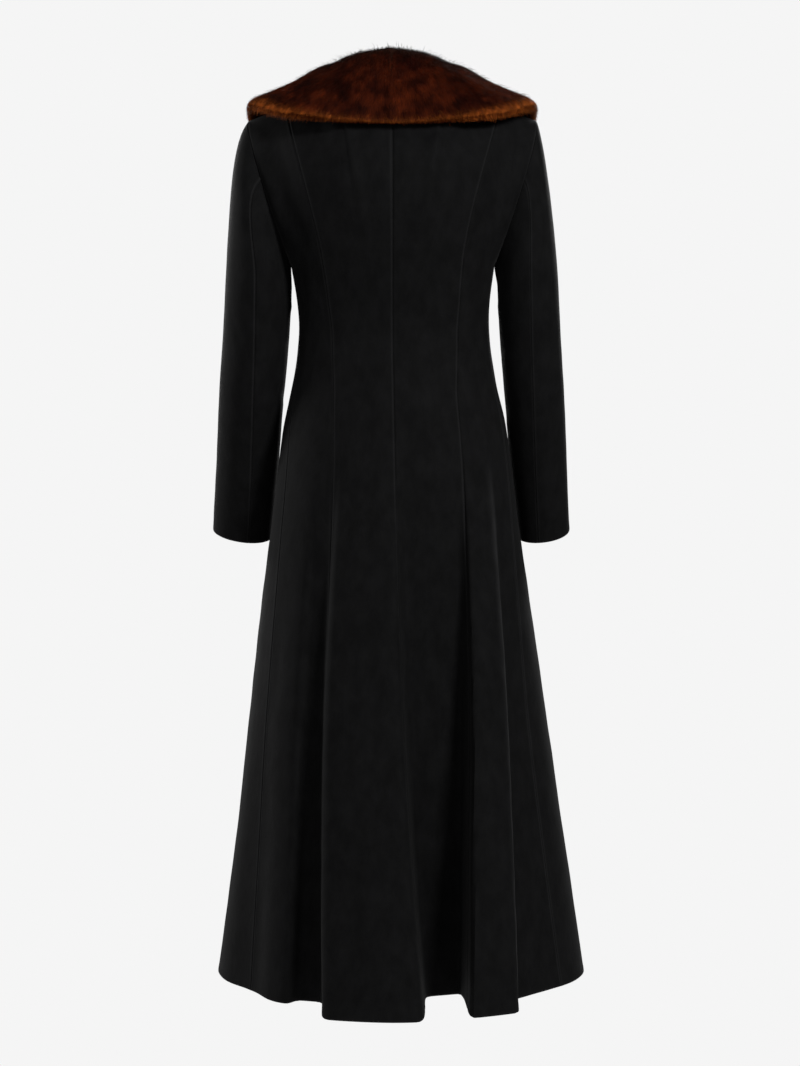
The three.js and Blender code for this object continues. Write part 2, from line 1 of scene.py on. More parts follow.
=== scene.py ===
import bpy
import numpy as np
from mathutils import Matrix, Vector


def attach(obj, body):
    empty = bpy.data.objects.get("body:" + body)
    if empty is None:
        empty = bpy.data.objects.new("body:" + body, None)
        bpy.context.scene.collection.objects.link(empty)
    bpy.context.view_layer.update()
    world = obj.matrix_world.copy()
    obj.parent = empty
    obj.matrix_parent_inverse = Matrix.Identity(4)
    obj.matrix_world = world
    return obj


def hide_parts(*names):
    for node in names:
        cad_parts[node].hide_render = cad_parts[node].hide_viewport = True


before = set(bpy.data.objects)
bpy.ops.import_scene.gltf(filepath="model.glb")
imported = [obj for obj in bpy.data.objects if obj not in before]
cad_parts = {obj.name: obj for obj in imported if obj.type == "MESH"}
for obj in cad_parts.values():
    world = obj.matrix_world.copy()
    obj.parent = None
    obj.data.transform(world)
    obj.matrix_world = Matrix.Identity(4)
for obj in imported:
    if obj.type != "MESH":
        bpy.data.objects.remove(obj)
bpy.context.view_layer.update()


# Centre back panels
# Two long pieces of double-faced wool, joined by the centre back seam from the neckline to the hem. The
# cloth is shaped over the waist by its cut, and from the hips down it falls in deep rolled flutes.
WALL = 2.5  # thickness of the cloth
NECK_HALF_WIDTH, NECK_BACK, NECK_DROP, NECK_SEAM_Y = 74, 60, 18, -4
SHOULDER_TIP = (209, -5, -50)
PRINCESS_AT_SHOULDER = 152
NECK_SHARE = 0.45  # share of the centre back panel's top edge that is neckline
UNDERARM, HEM = -262, -1293
BREAK_POINT, OVERLAP_FULL, FRONT_OVERLAP, FRONT_CUT_BACK = -345, -410, 70, 18
OVERLAP_AIR = 0.9  # between the right front and the left one under it
PANEL_DROP = 200  # about the length of cloth from the shoulder seam to the underarm
LEFT, RIGHT = 1, -1  # the wearer's sides, as signs of x
SIDES = ((LEFT, "left"), (RIGHT, "right"))


def rows_of(columns, *rows):
    """A table by the names of its columns."""
    return dict(zip(columns.split(), np.array(rows, float).T))


# Half widths and depths of the body below the underarm; square is the exponent of each rounded section.
SECTIONS = rows_of(
    "z left right back front square",
    (-262, 147, 147, 104, 122, 2.4),
    (-315, 138.5, 140.5, 92, 108, 2.4),
    (-360, 136.5, 140, 86, 99, 2.35),
    (-420, 143.5, 148, 97, 105, 2.3),
    (-500, 160, 165.5, 115, 122, 2.3),
    (-665, 181, 187.5, 141, 150, 2.3),
    (-898, 208.5, 222, 174, 186, 2.15),
    (-1117, 232.5, 254, 202, 215, 1.95),
    (-1293, 257, 281, 226, 238, 1.75),
)

# Where each seam runs round the body, in degrees from the centre back towards the wearer's left.
SEAMS = rows_of(
    "z centre back_left back_right side_left side_right front_left front_right",
    (-262, 0, 49.8, -49.8, 86, -86, 132, -132),
    (-360, 0, 50.5, -52.9, 80, -81, 128, -128),
    (-460, -0.9, 42, -45.2, 73, -76, 134, -134),
    (-560, -1.6, 36.7, -42.4, 67, -73, 139, -139),
    (-700, -2.4, 32.9, -38.7, 64, -68, 144, -143),
    (-898, -4, 29, -34.5, 62.5, -64, 148, -147),
    (-1117, -7, 25, -30, 61.5, -66, 151, -150),
    (-1293, -10, 23, -27, 60.7, -69, 153, -152),
)

# Folds of the skirt: their edges in degrees from a seam at the start and at the hem, how far they stand out
# and spread at the hem, the way they face, how crisp their edges are and how they grow downwards.
FOLD_COLUMNS = "near_start near_hem far_start far_hem start rise spread faces crisp growth"
FOLDS = [
    ("main flute", "centre", (0, 0, 34.6, 32.6, -530, 56, 13, 3, 20, 1.05)),
    ("hollow beside it", "back_right", (2, 1, 38, 17, -560, -73, 0, 0, 16, 1.0)),
    ("second flute", "back_right", (-16.2, -16.4, -0.6, -0.6, -520, 60, 12, -6, 15, 1.1)),
    ("hollow beside the main flute", "back_left", (0, 1.5, 11, 13, -560, -28, 0, 3, 6, 1.0)),
    ("swell beside the main flute", "back_left", (4, 5, 26, 30, -600, 13, 0, 38, 3, 1.0)),
    ("hollow at the left side seam", "side_left", (-9, -9, 11, 11, -640, -9, 0, 62, 3, 1.1)),
    ("hollow at the right side seam", "side_right", (-6, -2, 16, 20, -640, -8, 0, -60, 3, 1.1)),
    ("flute, left side front", "side_left", (46, 51, 68, 73, -600, 42, 4, 128, 5, 1.1)),
    ("flute, left front", "front_left", (-6, -18, 9, 2, -560, 46, 5, 150, 5, 1.1)),
    ("flute, right side front", "side_right", (-68, -71, -46, -48, -600, 44, 4, -130, 5, 1.1)),
    ("flute, right front", "front_right", (-8, -2, 7, 19, -580, 40, 5, -148, 5, 1.1)),
]

# How the cloth leaves the shoulder seam, from the centre back (0) over its tip (2) to the front edge (4).
BACK_START = rows_of(
    "s x y z",
    (0, 0, 180, -200),
    (0.225, 4, 265, -165),
    (0.45, 4, 430, -130),
    (0.7, 0, 384, -120),
    (1, 2, 335, -105),
    (2, 18, 175, -50),
)
FRONT_START = rows_of("s x y z", (2, 18, -175, -50), (3, 2, -260, -105), (4, 0, -160, -130))
ARMHOLE_END = (-60, 190, -150)  # how the armhole's edges run into the underarm point


def smooth(value, low, high):
    t = np.clip((value - low) / (high - low), 0, 1)
    return t * t * (3 - 2 * t)


def hermite(start, start_pull, end, end_pull, t):
    a = 2 * t**3 - 3 * t**2 + 1
    return a * start + (t**3 - 2 * t**2 + t) * start_pull + (1 - a) * end + (t**3 - t**2) * end_pull


def follow(table, column, place):
    """One column of a table at places along its first column, on a smooth curve through its rows."""
    keys, values = next(iter(table.values())), table[column]
    if keys[0] > keys[-1]:
        keys, values = keys[::-1], values[::-1]
    slopes = np.empty_like(values)
    slopes[1:-1] = (values[2:] - values[:-2]) / (keys[2:] - keys[:-2])
    slopes[0] = (values[1] - values[0]) / (keys[1] - keys[0])
    slopes[-1] = (values[-1] - values[-2]) / (keys[-1] - keys[-2])
    i = np.clip(np.searchsorted(keys, place, side="right") - 1, 0, len(keys) - 2)
    span = keys[i + 1] - keys[i]
    t = (place - keys[i]) / span
    return hermite(values[i], slopes[i] * span, values[i + 1], slopes[i + 1] * span, t)


def unit(vectors):
    return vectors / np.linalg.norm(vectors, axis=-1, keepdims=True)


def fold_edges(seam, row, z):
    """A fold's columns, how far down it the heights are, and the angles of its edges there."""
    fold = dict(zip(FOLD_COLUMNS.split(), row))
    down = np.clip((fold["start"] - z) / (fold["start"] - HEM), 0, None)
    seam_degrees = follow(SEAMS, seam, z)
    near = seam_degrees + fold["near_start"] + (fold["near_hem"] - fold["near_start"]) * down
    far = seam_degrees + fold["far_start"] + (fold["far_hem"] - fold["far_start"]) * down
    return fold, down, near, far


def body(z, degrees):
    """The outside of the coat below the underarm, at heights and angles from the centre back."""
    z, degrees = np.broadcast_arrays(np.asarray(z, float), degrees)
    sine, cosine = np.sin(np.radians(degrees)), np.cos(np.radians(degrees))
    across = np.where(sine >= 0, follow(SECTIONS, "left", z), follow(SECTIONS, "right", z))
    deep = np.where(cosine >= 0, follow(SECTIONS, "back", z), follow(SECTIONS, "front", z))
    square = follow(SECTIONS, "square", z)
    radius = (np.abs(sine / across) ** square + np.abs(cosine / deep) ** square) ** (-1 / square)
    x, y = radius * sine, radius * cosine
    for _, seam, row in FOLDS:
        fold, down, near, far = fold_edges(seam, row, z)
        off = (degrees - (near + far) / 2 + 540) % 360 - 180
        q = off / ((far - near) / 2)
        size = down ** fold["growth"] / (1 + np.abs(q) ** fold["crisp"])
        out, sideways = fold["rise"] * size, fold["spread"] * size * np.clip(q, -1.2, 1.2)
        face = np.radians(fold["faces"])
        x = x + out * np.sin(face) + sideways * np.cos(face)
        y = y + out * np.cos(face) - sideways * np.sin(face)
    return np.stack([x, y, z], axis=-1)


def boundary(side, seam, z):
    """The angle of a seam or front edge of one side of the coat at some heights."""
    if seam == "centre":
        return follow(SEAMS, "centre", z)
    if seam == "edge":
        above = -FRONT_CUT_BACK * smooth(z, BREAK_POINT, UNDERARM + 30)
        below = FRONT_OVERLAP / 2 * smooth(-z, -BREAK_POINT, -OVERLAP_FULL)
        reach = np.where(z > BREAK_POINT, above, below)
        return side * (180 + np.degrees(np.arctan2(reach, follow(SECTIONS, "front", z))))
    return follow(SEAMS, seam + ("_left" if side > 0 else "_right"), z)


# The four panels of one side, from the centre back to the front edge, and the seams between them.
BACK_CENTRE, BACK_SIDE, FRONT_SIDE, FRONT_CENTRE = range(4)
PANEL_SEAMS = [("centre", "back"), ("back", "side"), ("side", "front"), ("front", "edge")]


def cloth_angles(side, panel, shares, heights):
    """Angles at shares of the cloth's own length between two seams, a row of shares for each height."""
    start, end = (boundary(side, seam, heights) for seam in PANEL_SEAMS[panel])
    degrees = start[:, None] + (end - start)[:, None] * np.linspace(0, 1, 500)
    steps = np.linalg.norm(np.diff(body(heights[:, None], degrees), axis=1), axis=-1)
    lengths = np.concatenate([np.zeros((len(heights), 1)), np.cumsum(steps, axis=1)], axis=1)
    shares = np.broadcast_to(shares, (len(heights), np.shape(shares)[-1]))
    return np.array([np.interp(s * l[-1], l, d) for s, l, d in zip(shares, lengths, degrees)])


def shoulder_line(side, s):
    """The coat's top edge: the back neckline, the shoulder seam out to its tip, and back along it."""
    tips = [NECK_HALF_WIDTH, PRINCESS_AT_SHOULDER, SHOULDER_TIP[0], PRINCESS_AT_SHOULDER, NECK_HALF_WIDTH]
    x = np.interp(s, [NECK_SHARE, 1, 2, 3, 4], tips)
    share = (x - NECK_HALF_WIDTH) / (SHOULDER_TIP[0] - NECK_HALF_WIDTH)
    y, z = NECK_SEAM_Y + (SHOULDER_TIP[1] - NECK_SEAM_Y) * share, SHOULDER_TIP[2] * share
    turn = np.clip(s / NECK_SHARE, 0, 1) * np.pi / 2
    neckline = s < NECK_SHARE
    x = np.where(neckline, NECK_HALF_WIDTH * np.sin(turn), x)
    y = np.where(neckline, NECK_SEAM_Y + (NECK_BACK - NECK_SEAM_Y) * np.cos(turn), y)
    z = np.where(neckline, -NECK_DROP * np.cos(turn), z)
    return np.stack([side * x, y, z], axis=-1)


UNDERARM_STEP = 4  # how far below the underarm the body's slope is taken
UNDERARM_SHARES = np.linspace(0, 1, 201)
underarm_lines = {}  # the body's line at the underarm and just below it, for each side and panel


def underarm_line(side, panel, share):
    if (side, panel) not in underarm_lines:
        heights = np.array([UNDERARM, UNDERARM - UNDERARM_STEP], float)
        degrees = cloth_angles(side, panel, UNDERARM_SHARES, heights)
        underarm_lines[side, panel] = body(heights[:, None], degrees)
    return (
        np.stack([np.interp(share, UNDERARM_SHARES, line[:, axis]) for axis in range(3)], axis=-1)
        for line in underarm_lines[side, panel]
    )


def yoke(side, s, t, front):
    """The outside above the underarm, on lines that curve from the shoulder seam, t = 0, down to t = 1."""
    s, t = np.broadcast_arrays(np.asarray(s, float), t)
    outer, inner = (FRONT_CENTRE, FRONT_SIDE) if front else (BACK_SIDE, BACK_CENTRE)
    panel = outer if s.mean() > outer else inner
    here, below = underarm_line(side, panel, np.clip(s - panel, 0, 1))
    top = shoulder_line(side, s)
    table = FRONT_START if front else BACK_START
    start_pull = np.stack([follow(table, axis, s) for axis in "xyz"], axis=-1) * (side, 1, 1)
    end_pull = (below - here) * ((top[..., 2] - UNDERARM) / UNDERARM_STEP)[..., None]
    near_arm = smooth(1 - np.abs(s - 2), 0.25, 1)[..., None]
    arm_pull = np.array(ARMHOLE_END) * (side, 1 if front else -1, 1)
    end_pull = end_pull + (arm_pull - end_pull) * near_arm
    return hermite(top, start_pull, here, end_pull, t[..., None])


def yoke_normal(side, s, t, front):
    low, high = (2, 4) if front else (0, 2)
    ds, dt = 0.004, 0.01
    panel_low = max(low, np.floor(np.mean(s)))
    s0, s1 = np.clip(s - ds, panel_low, None), np.clip(s + ds, None, min(high, panel_low + 1))
    around = yoke(side, s1, t, front) - yoke(side, s0, t, front)
    down = yoke(side, s, np.clip(t + dt, 0, 1), front) - yoke(side, s, np.clip(t - dt, 0, 1), front)
    return unit(np.cross(around, down)) * side


def skirt_normal(side, panel, shares, heights):
    degrees = cloth_angles(side, panel, shares, heights)
    around = body(heights[:, None], degrees + 0.5 * side) - body(heights[:, None], degrees - 0.5 * side)
    places = ((z[:, None], cloth_angles(side, panel, shares, z)) for z in (heights + 1, heights - 1))
    above, below = (body(*place) for place in places)
    return unit(np.cross(around, below - above)) * side


SEAM_HIGHLIGHT = 0.26  # how strongly the painted highlight lightens the wool along a seam, against 1 along a fold's edge
HIGHLIGHT_INSET = 0.9  # degrees from a fold's edge to the line of its painted highlight

# Distances from a seam at which the turned edges are shaped, and the groove and ridge that they make.
SEAM_STATIONS = np.array([0, 0.7, 1.3, 2.1, 3.1, 4.6, 7.0])
GROOVE, RIDGE = 0.7, 0.3


def seam_relief(distance):
    return RIDGE * np.exp(-(((distance - 2.3) / 1.4) ** 2)) - GROOVE * np.exp(-((distance / 0.9) ** 2))


def edge_relief(distance):
    """A free edge, turned and pressed, is rounded over and has a slight step where the turning ends."""
    return -0.9 * np.exp(-((distance / 0.9) ** 2)) + 0.35 * np.exp(-(((distance - 5) / 4.5) ** 4))


TURNED_EDGE = 0.9  # how far a turned edge's fold stands out past the wall's last row


def spread_stations(length, middle):
    """Distances across a row of cloth: close together at its seams and even between them."""
    near = SEAM_STATIONS * min(1, length / 60)
    start, end = near[-1], length - near[-1]
    return np.concatenate([near, np.linspace(start, end, middle + 2)[1:-1], (length - near)[::-1]])


def crease_relief(points, across, creases):
    """Soft troughs and ridges drawn on the cloth, each from one place to another."""
    relief = np.zeros(points.shape[:-1])
    width = np.linalg.norm(np.diff(points, axis=1), axis=-1).sum(axis=1)[:, None]
    for share_a, z_a, share_b, z_b, depth, spread in creases:
        run = (points[..., 2] - z_a) / (z_b - z_a)
        bend = 0.04 * np.sin(np.pi * run * 1.3 + share_a * 9)
        line = share_a + (share_b - share_a) * run + bend
        slant = np.hypot(1, (share_b - share_a) * width / (z_b - z_a))
        off = (across - line) * width / slant
        fade = smooth(run, 0, 0.35) * smooth(-run, -1, -0.55)
        relief += depth * np.exp(-((off / spread) ** 2)) * fade
    return relief


def loft(points, seed):
    """The slight unevenness of a soft thick cloth, a few tenths of a millimetre."""
    draw = np.random.default_rng(seed)
    relief = np.zeros(points.shape[:-1])
    for wave in (150, 95, 60, 38):
        for _ in range(3):
            heading = unit(draw.normal(size=3) * (1, 1, 0.45))
            relief += wave / 150 * 0.22 * np.sin(points @ heading * 2 * np.pi / wave + draw.uniform(0, 6.3))
    return relief


def place_object(name, data):
    placed = bpy.data.objects.new(name, data)
    bpy.context.collection.objects.link(placed)
    return placed


def cloth_mesh(name, outside, inside, painted_highlight, material, flip):
    """A closed wall from two grids of points, with its bottom edge rounded over."""
    rows, columns = outside.shape[:2]
    middle, along = (outside[-1] + inside[-1]) / 2, unit(outside[-1] - outside[-3])
    layers = [outside.reshape(-1, 3), inside.reshape(-1, 3), middle + along * TURNED_EDGE]
    ids = np.arange(rows * columns).reshape(rows, columns)
    inner, rim = ids + rows * columns, np.arange(columns) + 2 * rows * columns
    chain = np.concatenate([ids, rim[None], inner[::-1]], axis=0)
    quads = np.stack([chain[:-1, :-1], chain[1:, :-1], chain[1:, 1:], chain[:-1, 1:]], axis=-1)
    top = np.stack([ids[0, :-1], ids[0, 1:], inner[0, 1:], inner[0, :-1]], axis=-1)
    ends = [
        np.stack([ids[1:, 0], ids[:-1, 0], inner[:-1, 0], inner[1:, 0]], axis=-1),
        np.stack([ids[:-1, -1], ids[1:, -1], inner[1:, -1], inner[:-1, -1]], axis=-1),
        np.array([[ids[-1, 0], inner[-1, 0], rim[0], rim[0]]]),
        np.array([[rim[-1], inner[-1, -1], ids[-1, -1], ids[-1, -1]]]),
    ]
    faces = np.concatenate([quads.reshape(-1, 4), top, *ends])
    if flip:
        faces = faces[:, ::-1]
    faces = [tuple(dict.fromkeys(face)) for face in faces.tolist()]
    mesh = bpy.data.meshes.new(name)
    mesh.from_pydata((np.concatenate(layers) * 0.001).tolist(), [], faces)
    # Painted highlight: how far the wool is lightened at each point, kept as a point attribute.
    painted_highlight_attribute = np.concatenate([painted_highlight.ravel(), painted_highlight.ravel(), painted_highlight[-1]])
    shade = mesh.attributes.new("painted_highlight", "FLOAT", "POINT")
    shade.data.foreach_set("value", painted_highlight_attribute.astype(np.float32))
    mesh.materials.append(material)
    piece = place_object(name, mesh)
    bpy.ops.object.select_all(action="DESELECT")
    piece.select_set(True)
    bpy.context.view_layer.objects.active = piece
    bpy.ops.object.shade_smooth_by_angle(angle=np.radians(50))
    return piece


def set_inputs(node, values):
    for name, value in values.items():
        node.inputs[name].default_value = value


def new_node(nodes, kind, values):
    node = nodes.new("ShaderNode" + kind)
    set_inputs(node, values)
    return node


def plain_finish(name, roughness, shine):
    """A new material, with its nodes, its links and its shader."""
    material = bpy.data.materials.new(name)
    material.use_nodes = True
    nodes, links = material.node_tree.nodes, material.node_tree.links
    shader = nodes["Principled BSDF"]
    set_inputs(shader, {"Roughness": roughness, "Specular IOR Level": shine})
    return material, nodes, links, shader


def speckle(nodes, links, vector, scale, detail=2, roughness=0.5):
    noise = new_node(nodes, "TexNoise", {"Scale": scale, "Detail": detail, "Roughness": roughness})
    links.new(vector, noise.inputs["Vector"])
    return noise.outputs["Fac"]


def roughen(nodes, links, height, strength, distance):
    bump = new_node(nodes, "Bump", {"Strength": strength, "Distance": distance})
    links.new(height, bump.inputs["Height"])
    return bump


def wool_cloth():
    """Matt black wool: a fine brushed nap with a faint mottle, and a painted highlight, a lighter grey mixed
    in where the highlight attribute is set.
    """
    material, nodes, links, shader = plain_finish("black_wool", 0.85, 0.06)
    set_inputs(shader, {"Sheen Weight": 0.012, "Sheen Roughness": 0.45})
    place = nodes.new("ShaderNodeTexCoord")
    stretch = new_node(nodes, "Mapping", {"Scale": (1, 1, 0.55)})
    links.new(place.outputs["Object"], stretch.inputs["Vector"])
    mottle = speckle(nodes, links, stretch.outputs["Vector"], 55, 5, 0.65)
    nap = speckle(nodes, links, stretch.outputs["Vector"], 700, 3)
    tone = nodes.new("ShaderNodeValToRGB")
    tone.color_ramp.elements[0].position = 0.35
    tone.color_ramp.elements[0].color = (0.0027, 0.0027, 0.0028, 1)
    tone.color_ramp.elements[1].position = 0.68
    tone.color_ramp.elements[1].color = (0.0049, 0.0049, 0.0051, 1)
    links.new(mottle, tone.inputs["Fac"])
    painted_highlight_attribute = nodes.new("ShaderNodeAttribute")
    painted_highlight_attribute.attribute_name = "painted_highlight"
    # Painted highlight: the base colour is mixed towards a lighter grey by the attribute.
    painted_highlight_mix = nodes.new("ShaderNodeMix")
    painted_highlight_mix.data_type = "RGBA"
    painted_highlight_mix.inputs["B"].default_value = (0.022, 0.022, 0.0227, 1)
    links.new(painted_highlight_attribute.outputs["Fac"], painted_highlight_mix.inputs["Factor"])
    links.new(tone.outputs["Color"], painted_highlight_mix.inputs["A"])
    links.new(painted_highlight_mix.outputs["Result"], shader.inputs["Base Color"])
    fine = roughen(nodes, links, nap, 0.35, 0.0006)
    soft = roughen(nodes, links, mottle, 0.4, 0.0015)
    links.new(fine.outputs["Normal"], soft.inputs["Normal"])
    links.new(soft.outputs["Normal"], shader.inputs["Normal"])
    return material


WOOL = wool_cloth()
YOKE_ROWS, SKIRT_ROWS, SHOULDER_PLACES = 30, 96, 25
EVENNESS = 0.62  # how evenly the rows lie between underarm and hem, the rest being drawn up to the waist
EDGE_ROWS = np.array([6, 3.2, 1.6, 0.7])  # heights above the hem of the rows that shape its turned edge
FAR_FROM_HEM = 900.0


def fold_edge_highlight(fold_name, heights, cloth):
    """A painted highlight along the near edge of a fold, where its rounded edge catches the light."""
    seam, row = next((seam, row) for name, seam, row in FOLDS if name == fold_name)
    _, down, near, _ = fold_edges(seam, row, heights)
    crest = body(heights, near + HIGHLIGHT_INSET)[:, None]
    off = np.linalg.norm(cloth - crest, axis=-1)
    waver = 0.8 + 0.25 * np.sin(heights / 23) * np.sin(heights / 9.1)
    return np.exp(-((off / 5.5) ** 2)) * (waver * smooth(down, 0.02, 0.14))[:, None]


def painted_seam_highlight(distance):
    """A painted highlight along a pressed seam, where its ridge catches the light."""
    return SEAM_HIGHLIGHT * np.exp(-(((distance - 1.9) / 1.2) ** 2))


# A painted highlight along a turned edge, at the hem and the cuffs.
def painted_edge_highlight(distance):
    return SEAM_HIGHLIGHT * np.exp(-((distance / 2.0) ** 2))


def sew(name, outside, inside, painted_highlight, flip):
    """A panel or a piece of a sleeve in the wool."""
    piece = cloth_mesh(name + "_cloth", outside, inside, np.clip(painted_highlight, 0, 1), WOOL, flip)
    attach(piece, "root")
    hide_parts(name)


def panel_rows():
    """A panel's rows: shares of the drop from shoulder to underarm, then heights from there to the hem."""
    drops = np.concatenate([SEAM_STATIONS[:-1], np.linspace(SEAM_STATIONS[-1], PANEL_DROP, YOKE_ROWS)])
    ratio = np.linspace(0, 1, SKIRT_ROWS)
    heights = UNDERARM + (HEM - UNDERARM) * (EVENNESS * ratio + (1 - EVENNESS) * ratio**1.5)
    heights = np.sort(np.concatenate([heights[:-1], HEM + EDGE_ROWS]))[::-1]
    return drops[:-1] / PANEL_DROP, heights


def row_shares(line, middle):
    """Where the columns stand on a row of cloth, as shares of its length."""
    length = np.linalg.norm(np.diff(line, axis=0), axis=1).sum()
    return spread_stations(length, middle) / length


def yoke_grid(side, panel, middle, rows_t):
    """The panel's places, directions and shares of width above the underarm."""
    front, even = panel >= FRONT_SIDE, np.linspace(0, 1, SHOULDER_PLACES)
    grid, normals, shares = [], [], []
    for t in rows_t:
        share = row_shares(yoke(side, panel + even, np.full(SHOULDER_PLACES, t), front), middle)
        place = (side, panel + share, np.full(len(share), t), front)
        normal = yoke_normal(*place)
        if panel == BACK_CENTRE:
            normal[:, 0] *= smooth(share, 0, 0.03)  # square to the centre back seam
        shares.append(share)
        grid.append(yoke(*place))
        normals.append(unit(normal))
    return np.array(grid), np.array(normals), np.array(shares)


def skirt_grid(side, panel, middle, heights):
    """The same from the underarm down to the hem."""
    even = np.linspace(0, 1, 60)
    rows = (body(z, cloth_angles(side, panel, even, np.array([z]))[0]) for z in heights)
    shares = np.array([row_shares(row, middle) for row in rows])
    grid = body(heights[:, None], cloth_angles(side, panel, shares, heights))
    return grid, skirt_normal(side, panel, shares, heights), shares


def body_panel(name, side, panel, middle, creases, free_edge):
    """One long panel, from the shoulder seam or neckline to the hem."""
    rows_t, heights = panel_rows()
    upper, lower = yoke_grid(side, panel, middle, rows_t), skirt_grid(side, panel, middle, heights)
    grid, normals, shares = (np.concatenate(pair) for pair in zip(upper, lower))
    width = np.linalg.norm(np.diff(grid, axis=1), axis=-1).sum(axis=1)[:, None]
    near, far = shares * width, (1 - shares) * width
    from_top = np.concatenate([rows_t * PANEL_DROP, PANEL_DROP + UNDERARM - heights])[:, None] + 0 * near
    from_hem = np.concatenate([np.full(len(rows_t), FAR_FROM_HEM), heights - HEM])[:, None] + 0 * near
    at_front = edge_relief(far) if free_edge else seam_relief(far)
    relief = seam_relief(near) + at_front + seam_relief(from_top) + edge_relief(from_hem)
    relief += crease_relief(grid, shares, creases) * smooth(np.minimum(near, far), 0, 12)
    relief += loft(grid, 7) * smooth(np.minimum(near, far), 0, 25)
    lift = np.zeros_like(relief)
    if side == RIGHT and panel == FRONT_CENTRE:
        over_height = smooth(-grid[..., 2], -UNDERARM, 20 - BREAK_POINT)
        lift = (WALL + OVERLAP_AIR) * smooth(shares, 0.08, 0.42) * over_height
    outside = grid + normals * (lift + relief)[..., None]
    inside = grid + normals * (lift - WALL)[..., None]
    # Painted highlights: along one seam of each panel and along the hem; on the left centre back panel along
    # the centre back seam too, and on the right side back panel along the second flute's near edge.
    painted_highlight = painted_seam_highlight(far if panel <= BACK_SIDE else near) + painted_edge_highlight(from_hem)
    if name == "back_centre_left":
        painted_highlight += 0.8 * painted_seam_highlight(near)
    if name == "back_side_right":
        painted_highlight[len(rows_t) :] += 0.7 * fold_edge_highlight("second flute", heights, lower[0])
    sew(name, outside, inside, painted_highlight, flip=side == LEFT)


def panel_pair(name, panel, middle, creases, free_edge=False):
    for side, word in SIDES:
        body_panel(f"{name}_{word}", side, panel, middle, creases[side], free_edge)


# Each crease: share of the width and height at its start and at its end, depth (negative for a trough) and
# spread.
BACK_CENTRE_CREASES = {
    LEFT: [
        (0.25, -330, 0.55, -385, -0.7, 9),
        (0.7, -300, 0.9, -400, 0.8, 12),
        (0.5, -610, 0.62, -900, -1.0, 16),
    ],
    RIGHT: [
        (0.3, -345, 0.75, -380, -0.8, 8),
        (0.6, -300, 0.85, -390, 0.8, 12),
        (0.4, -420, 0.5, -560, 0.7, 14),
    ],
}
panel_pair("back_centre", BACK_CENTRE, 34, BACK_CENTRE_CREASES)


# Side back panels
# One on each side, between the princess seam and the side seam. Each carries the back half of the armhole,
# and the right one rolls forward into the second flute.
BACK_SIDE_CREASES = {
    LEFT: [
        (0.35, -130, 0.8, -215, -1.2, 12),
        (0.3, -290, 0.75, -350, 0.9, 10),
        (0.55, -330, 0.4, -420, -0.9, 12),
    ],
    RIGHT: [
        (0.3, -120, 0.85, -200, -1.4, 13),
        (0.4, -215, 0.8, -275, 0.9, 10),
        (0.5, -330, 0.35, -430, -0.9, 12),
    ],
}
panel_pair("back_side", BACK_SIDE, 30, BACK_SIDE_CREASES)


# Side front panels
# The widest panels of the skirt, from the side seam to the front princess seam, with two soft flutes each.
FRONT_SIDE_CREASES = {
    LEFT: [
        (0.25, -300, 0.5, -370, -1.0, 10),
        (0.6, -290, 0.8, -380, 0.9, 11),
        (0.35, -500, 0.3, -800, -1.2, 18),
    ],
    RIGHT: [
        (0.3, -310, 0.6, -380, -1.1, 10),
        (0.5, -280, 0.7, -360, 0.9, 12),
        (0.4, -520, 0.35, -780, -1.1, 18),
    ],
}
panel_pair("front_side", FRONT_SIDE, 44, FRONT_SIDE_CREASES)


# Centre front panels
# They meet the collar at the neck edge, cross below it with the right front on top, and end in turned edges.
FRONT_CENTRE_CREASES = {
    LEFT: [
        (0.2, -320, 0.55, -390, -0.9, 10),
        (0.4, -560, 0.5, -820, -1.0, 17),
    ],
    RIGHT: [
        (0.25, -330, 0.6, -400, -1.0, 10),
        (0.3, -420, 0.4, -600, 0.8, 14),
        (0.5, -640, 0.45, -900, -1.0, 17),
    ],
}
panel_pair("front_centre", FRONT_CENTRE, 32, FRONT_CENTRE_CREASES, free_edge=True)


# Sleeves
# Two-piece set-in sleeves of the same wool, bent slightly at the elbow: an upper piece over the outside of
# the arm and a narrower one under it, with an open, turned cuff.
SLEEVE = rows_of(
    "z x y across deep forward slant back_seam front_seam",
    (-292, 195.5, -2, 48, 62, 0, 0, 90, 234),
    (-370, 200, -8, 48, 56, 5, 2, 93, 236),
    (-460, 208, -22, 47.5, 52, 10, 4, 98, 239),
    (-560, 216.5, -53, 45.5, 48, 14, 6, 102, 242),
    (-652, 225, -80, 43.5, 44.5, 16, 8, 106, 244),
)
SLEEVE_TOP, CUFF = -292, -652
RIGHT_SLEEVE_NARROWER, RIGHT_SLEEVE_OUTWARD = 4, 1
CAP_UNEVEN = 0.4  # how much fuller the left sleeve's head is, and how much flatter the right one's
SEAM_GAP = 0.3  # between the body's edge and the line where the sleeve rises from it
SLEEVE_TUCK = 0.8  # how far a sleeve's edge is sewn in under the body's edge, so that no light comes through
SLEEVE_RADIUS, HEAD_LENGTH = 52, 220  # about, for distances from the seams

# How the cloth leaves the armhole, by turns round it, and how strongly it is drawn on to the sleeve below.
CAP_START = rows_of(
    "turn x y z pull",
    (0, 60, 0, -90, 200),
    (90, 62, 34, -78, 130),
    (180, 2, 0, -22, 26),
    (270, 62, -30, -78, 130),
    (360, 60, 0, -90, 200),
)


